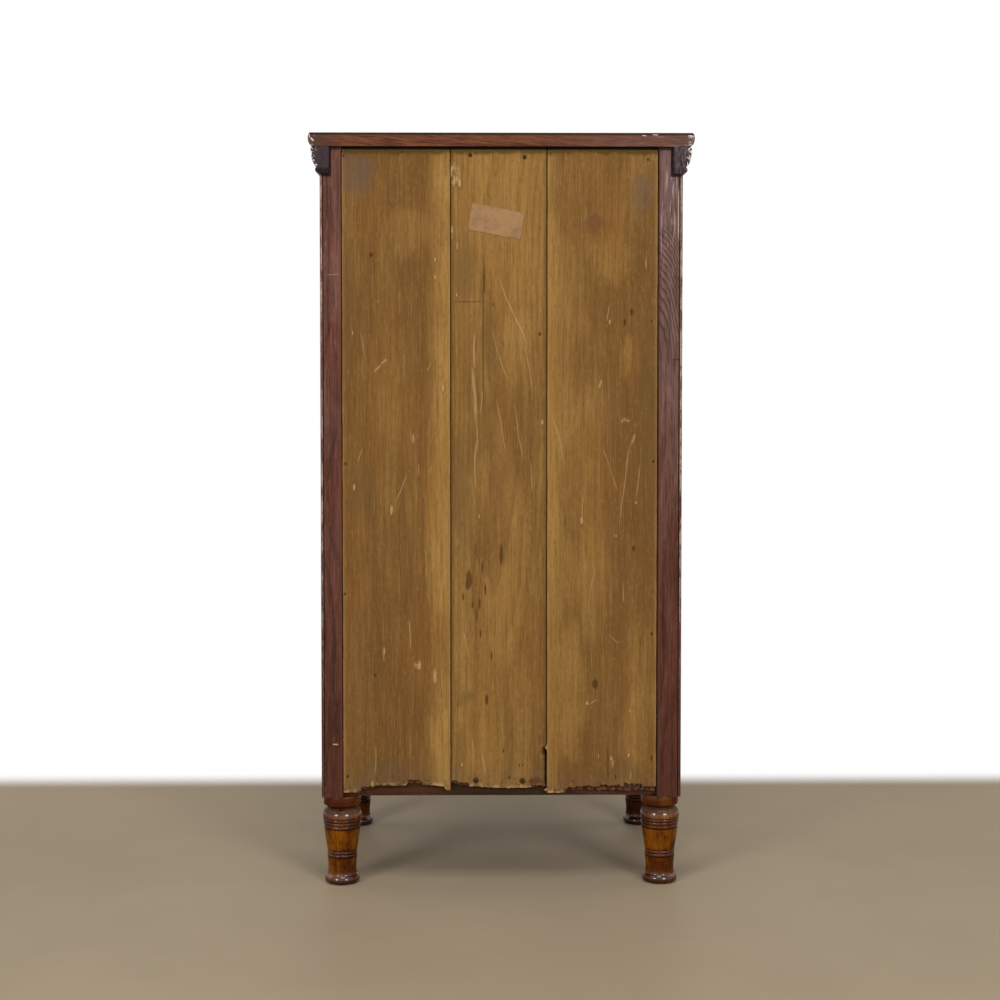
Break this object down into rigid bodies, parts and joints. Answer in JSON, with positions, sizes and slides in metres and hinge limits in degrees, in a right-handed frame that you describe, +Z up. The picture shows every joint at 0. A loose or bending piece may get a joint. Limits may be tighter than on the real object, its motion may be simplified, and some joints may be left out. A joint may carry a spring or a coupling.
{
  "type": "wellington chest",
  "caption": "Tall narrow chest of graduated drawers on turned feet, with a moulded top, framed sides, a boarded back and a hinged stile that laps over the drawers and locks them.",
  "frame": {"origin": "on the floor, under the middle of the chest's box with the locking stile standing open", "axes": "+Z up, the front faces -Y, +X to the right as seen from the front"},
  "size_m": [0.62, 0.4686, 1.22],
  "materials": {
    "stained_oak": "dark red-brown stained and polished",
    "polished_oak": "amber-brown polished, worn",
    "back_pine": "aged softwood boards, golden brown, matt",
    "drawer_pine": "bare softwood drawer lining",
    "brass": "aged brass",
    "lock_iron": "old iron lock"
  },
  "bodies": {
    "carcass": {"top": "stained_oak", "sub_top": "drawer_pine", "base_board": "stained_oak", "bed_moulding_left": "stained_oak", "bed_moulding_right": "stained_oak", "bed_moulding_front": "stained_oak", "front_post_left": "stained_oak", "front_post_right": "stained_oak", "back_post_left": "stained_oak", "back_post_right": "stained_oak", "side_panel_left": "stained_oak", "side_panel_right": "stained_oak", "back_board_left": "back_pine", "back_board_middle": "back_pine", "back_board_right": "back_pine", "foot_front_left": "polished_oak", "foot_front_right": "polished_oak", "foot_back_left": "polished_oak", "foot_back_right": "polished_oak", "fixed_pilaster": "stained_oak", "dustboard_1": "stained_oak", "dustboard_2": "stained_oak", "dustboard_3": "stained_oak", "dustboard_4": "stained_oak", "dustboard_5": "stained_oak", "dustboard_6": "stained_oak", "pivot_pin_top": "brass", "pivot_pin_bottom": "brass", "striker_plate": "brass"},
    "stile": {"locking_stile": "stained_oak", "lock_case": "lock_iron"},
    "bolt": {"lock_bolt": "lock_iron"},
    "drawer_1": {"drawer_1_front": "stained_oak", "drawer_1_tray": "drawer_pine", "drawer_1_knob_left": "stained_oak", "drawer_1_knob_right": "stained_oak"},
    "drawer_2": {"drawer_2_front": "stained_oak", "drawer_2_tray": "drawer_pine", "drawer_2_knob_left": "stained_oak", "drawer_2_knob_right": "stained_oak"},
    "drawer_3": {"drawer_3_front": "stained_oak", "drawer_3_tray": "drawer_pine", "drawer_3_knob_left": "stained_oak", "drawer_3_knob_right": "stained_oak"},
    "drawer_4": {"drawer_4_front": "stained_oak", "drawer_4_tray": "drawer_pine", "drawer_4_knob_left": "stained_oak", "drawer_4_knob_right": "stained_oak"},
    "drawer_5": {"drawer_5_front": "stained_oak", "drawer_5_tray": "drawer_pine", "drawer_5_knob_left": "stained_oak", "drawer_5_knob_right": "stained_oak"},
    "drawer_6": {"drawer_6_front": "stained_oak", "drawer_6_tray": "drawer_pine", "drawer_6_knob_left": "stained_oak", "drawer_6_knob_right": "stained_oak"},
    "drawer_7": {"drawer_7_front": "stained_oak", "drawer_7_tray": "drawer_pine", "drawer_7_knob_left": "stained_oak", "drawer_7_knob_right": "stained_oak"}
  },
  "joints": [
    {"name": "stile_swing", "type": "hinge", "parent": "carcass", "child": "stile", "pos_m": [0.2813, -0.191, 0.66125], "axis": [0, 0, 1], "range_deg": [-90, 80]},
    {"name": "bolt_throw", "type": "slide", "parent": "stile", "child": "bolt", "axis": [0, 0, 1], "range_m": [0, 0.008]},
    {"name": "drawer_1_slide", "type": "slide", "parent": "carcass", "child": "drawer_1", "axis": [0, -1, 0], "range_m": [0, 0.3]},
    {"name": "drawer_2_slide", "type": "slide", "parent": "carcass", "child": "drawer_2", "axis": [0, -1, 0], "range_m": [0, 0.3]},
    {"name": "drawer_3_slide", "type": "slide", "parent": "carcass", "child": "drawer_3", "axis": [0, -1, 0], "range_m": [0, 0.3]},
    {"name": "drawer_4_slide", "type": "slide", "parent": "carcass", "child": "drawer_4", "axis": [0, -1, 0], "range_m": [0, 0.3]},
    {"name": "drawer_5_slide", "type": "slide", "parent": "carcass", "child": "drawer_5", "axis": [0, -1, 0], "range_m": [0, 0.3]},
    {"name": "drawer_6_slide", "type": "slide", "parent": "carcass", "child": "drawer_6", "axis": [0, -1, 0], "range_m": [0, 0.3]},
    {"name": "drawer_7_slide", "type": "slide", "parent": "carcass", "child": "drawer_7", "axis": [0, -1, 0], "range_m": [0, 0.3]}
  ]
}
